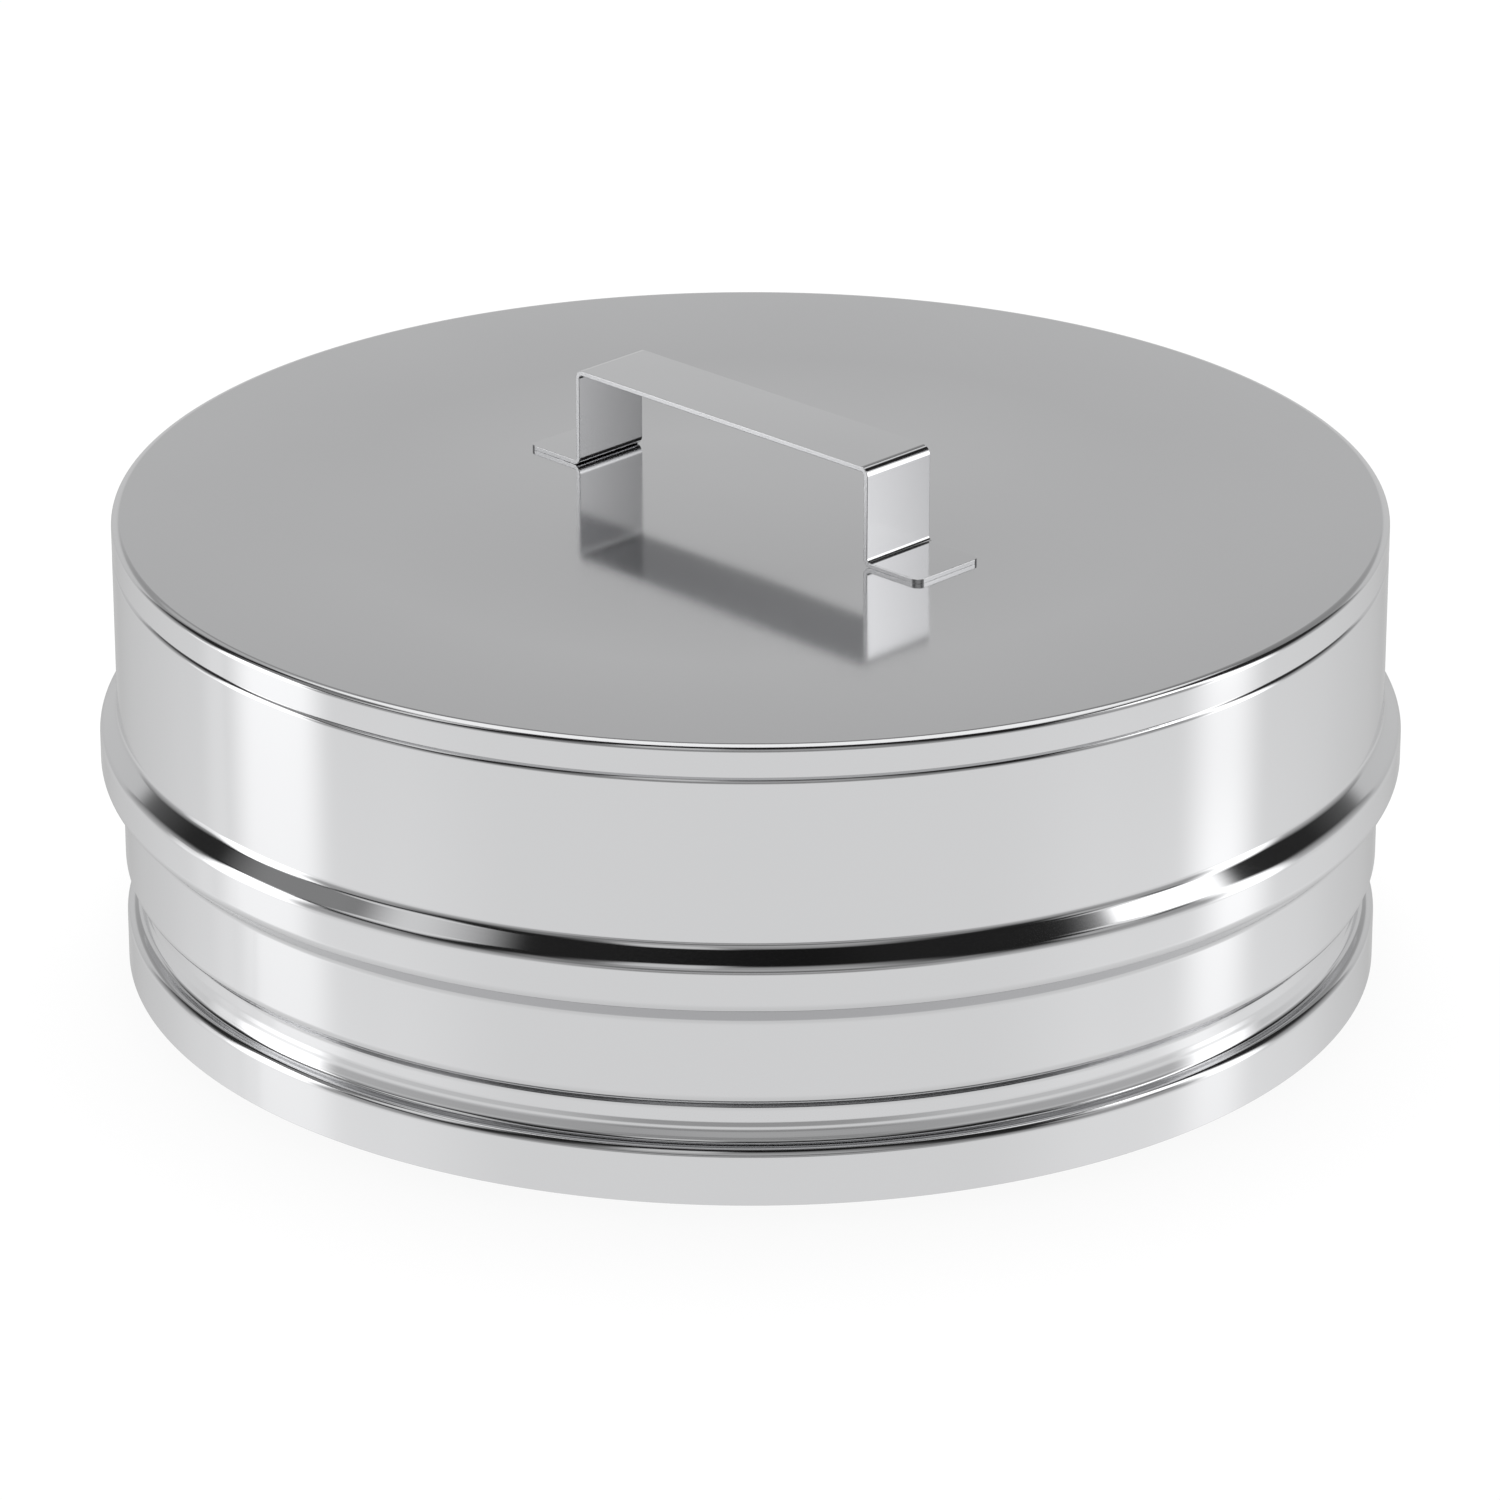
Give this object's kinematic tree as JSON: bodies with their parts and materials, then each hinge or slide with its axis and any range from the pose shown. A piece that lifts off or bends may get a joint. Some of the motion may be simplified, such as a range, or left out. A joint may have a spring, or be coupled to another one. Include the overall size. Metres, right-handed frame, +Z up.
{
  "type": "flue pipe end cap",
  "caption": "Round stainless sheet cap with a spigot, stop bead, seal groove, flat lid and strap handle, which closes the end of a single-wall flue pipe.",
  "frame": {"origin": "centre of the bottom rim of the spigot", "axes": "+Z up along the pipe's axis towards the lid, +X along the handle"},
  "size_m": [0.257, 0.257, 0.1122],
  "materials": {
    "shell_steel": "bright polished stainless sheet",
    "lid_steel": "bright polished stainless sheet",
    "handle_steel": "bright polished stainless strap"
  },
  "bodies": {
    "root": {"shell": "shell_steel", "lid": "lid_steel", "handle": "handle_steel"}
  },
  "joints": []
}
